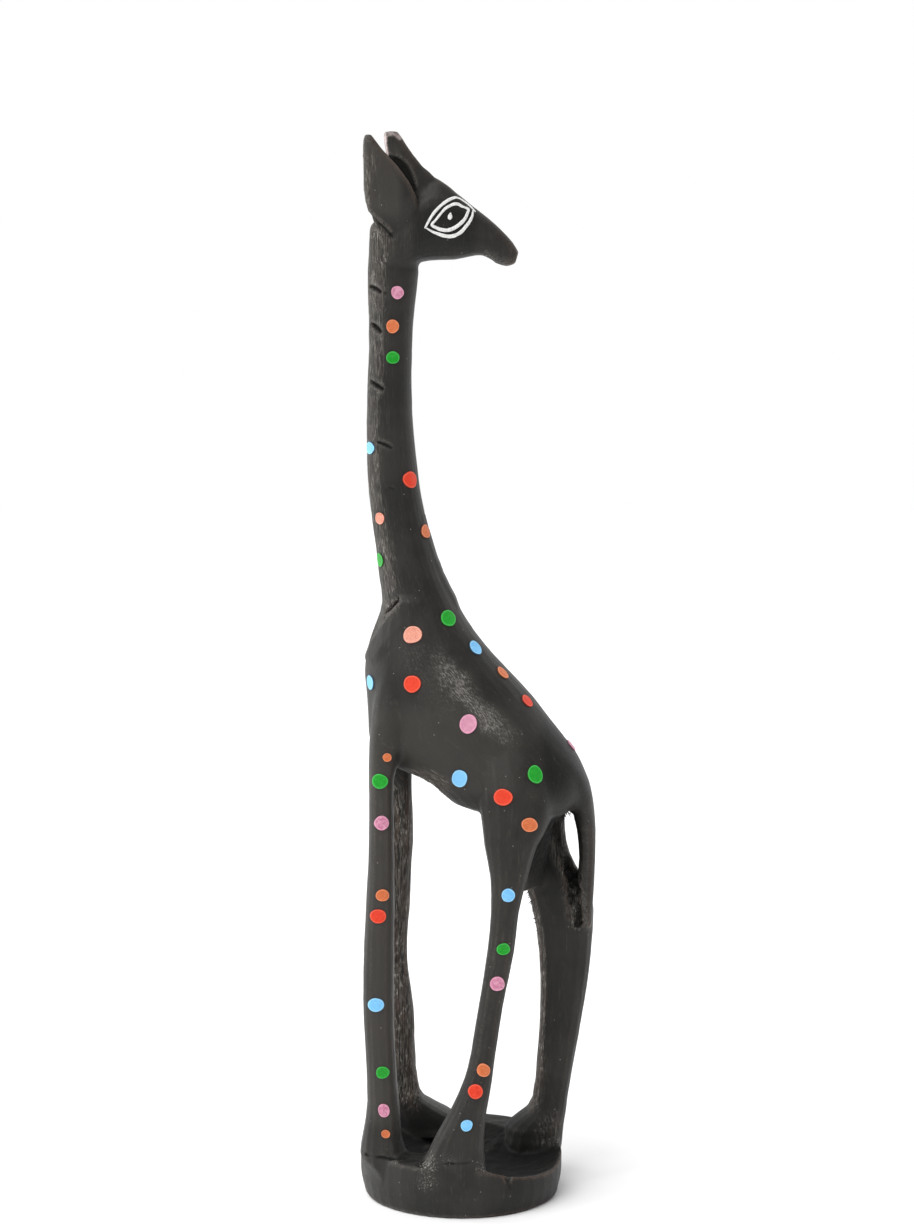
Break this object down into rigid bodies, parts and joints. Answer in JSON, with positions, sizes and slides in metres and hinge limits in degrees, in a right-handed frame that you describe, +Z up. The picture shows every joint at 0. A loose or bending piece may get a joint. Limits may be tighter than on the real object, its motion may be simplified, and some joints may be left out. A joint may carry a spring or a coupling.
{
  "type": "carved giraffe statue",
  "caption": "Tall slender giraffe carved with its round base from one block of wood, head turned back over the body, painted dark with coloured dots and white eye outlines.",
  "frame": {"origin": "centre of the round base's flat underside", "axes": "+Z up the statue; the chest faces -X, the rump, tail and turned-back head face +X; the left flank of the body faces -Y"},
  "size_m": [0.0681, 0.0586, 0.305],
  "materials": {
    "painted_wood": "thin matte charcoal-black paint over close-grained wood, grain and knife marks showing through, edges a little worn",
    "white_paint": "thin brushed white paint line",
    "red_paint": "thick blob of semi-gloss paint",
    "orange_paint": "thick blob of semi-gloss paint",
    "salmon_paint": "thick blob of semi-gloss paint, a little chalky",
    "green_paint": "thick blob of semi-gloss paint",
    "blue_paint": "thick blob of semi-gloss paint",
    "pink_paint": "thick blob of semi-gloss paint"
  },
  "bodies": {
    "root": {"base": "painted_wood", "left_front_leg": "painted_wood", "right_front_leg": "painted_wood", "left_hind_leg": "painted_wood", "right_hind_leg": "painted_wood", "torso": "painted_wood", "haunches": "painted_wood", "tail": "painted_wood", "neck": "painted_wood", "head": "painted_wood", "left_ear": "painted_wood", "right_ear": "painted_wood", "left_horn": "painted_wood", "right_horn": "painted_wood", "left_eye_outer_line": "white_paint", "left_eye_inner_line": "white_paint", "left_eye_glint": "white_paint", "right_eye_outer_line": "white_paint", "right_eye_inner_line": "white_paint", "right_eye_glint": "white_paint", "red_dots": "red_paint", "orange_dots": "orange_paint", "salmon_dots": "salmon_paint", "green_dots": "green_paint", "blue_dots": "blue_paint", "pink_dots": "pink_paint"}
  },
  "joints": []
}
